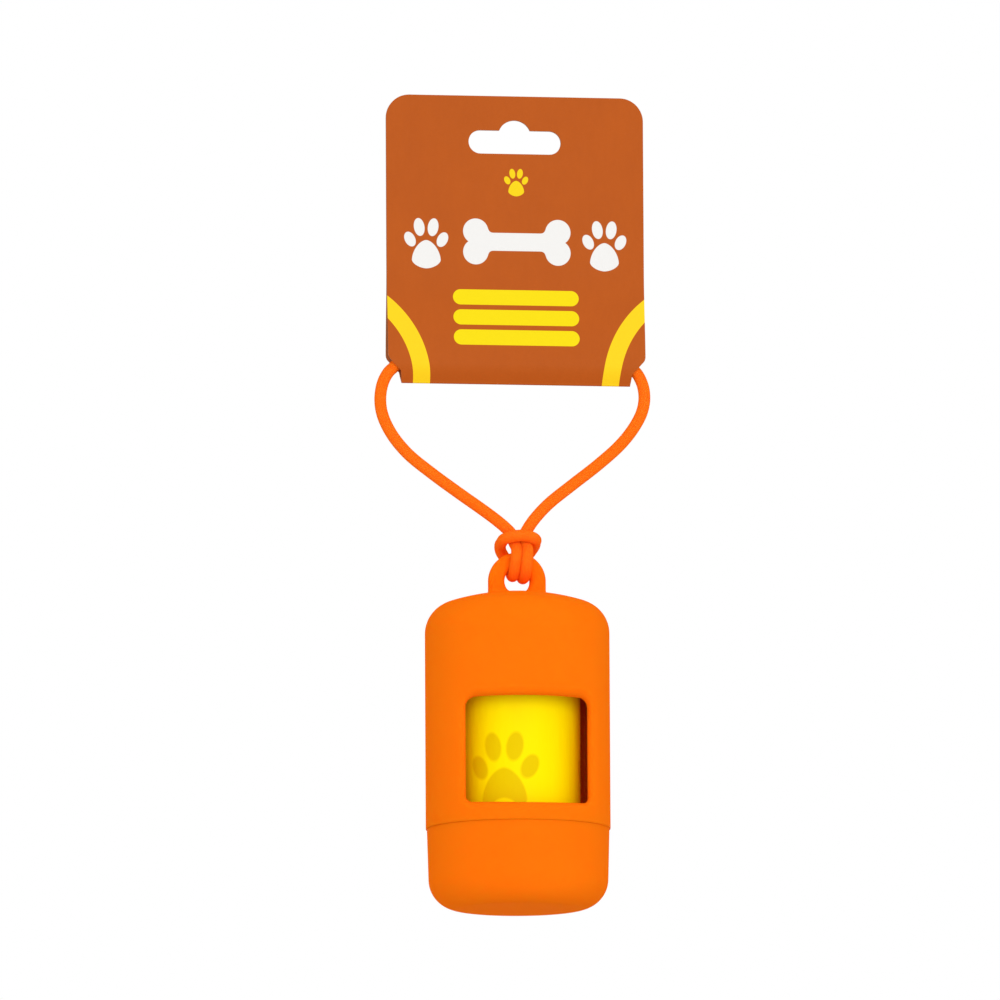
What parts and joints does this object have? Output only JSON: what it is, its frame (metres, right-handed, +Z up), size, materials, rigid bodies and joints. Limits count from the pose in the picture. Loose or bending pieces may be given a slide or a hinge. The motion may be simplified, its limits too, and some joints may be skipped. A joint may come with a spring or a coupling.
{
  "type": "dog waste bag dispenser",
  "caption": "Silicone tube with a domed top, lug, front window and pull-off end cap around a roll of bags, hung by a cord loop from a folded header card.",
  "frame": {"origin": "centre of the header card's hang slot, midway between its two panels", "axes": "+Z up as it hangs, -Y towards the viewer in front of the bag window and of the card's printed side, +X to that viewer's right"},
  "size_m": [0.0725, 0.048, 0.2132],
  "materials": {
    "card_board": "matte printed board",
    "card_glue": "dried adhesive",
    "cord_silicone": "matte silicone",
    "body_silicone": "matte silicone",
    "core_paper": "matte paper tube",
    "bag_film": "satin film"
  },
  "bodies": {
    "card": {"header_card": "card_board", "card_glue": "card_glue", "cord_run": "cord_silicone"},
    "cord": {"cord_loop": "cord_silicone"},
    "dispenser": {"body_shell": "body_silicone"},
    "cap": {"end_cap": "body_silicone"},
    "roll": {"roll_core": "core_paper", "bag_01": "bag_film", "bag_02": "bag_film", "bag_03": "bag_film", "bag_04": "bag_film", "bag_05": "bag_film", "bag_06": "bag_film", "bag_07": "bag_film", "bag_08": "bag_film", "bag_09": "bag_film", "bag_10": "bag_film", "bag_11": "bag_film", "bag_12": "bag_film", "bag_13": "bag_film", "bag_14": "bag_film", "bag_15": "bag_film"}
  },
  "joints": [
    {"name": "cord_swing", "type": "hinge", "parent": "card", "child": "cord", "pos_m": [0, 0, -0.0606], "axis": [1, 0, 0], "range_deg": [-45, 45]},
    {"name": "dispenser_swing", "type": "hinge", "parent": "cord", "child": "dispenser", "pos_m": [0, 0, -0.11], "axis": [1, 0, 0], "range_deg": [-60, 60]},
    {"name": "cap_pull", "type": "slide", "parent": "dispenser", "child": "cap", "axis": [0, 0, -1], "range_m": [0, 0.064]},
    {"name": "roll_spin", "type": "hinge", "parent": "cap", "child": "roll", "pos_m": [0, 0, -0.198], "axis": [0, 0, 1], "continuous": true}
  ]
}
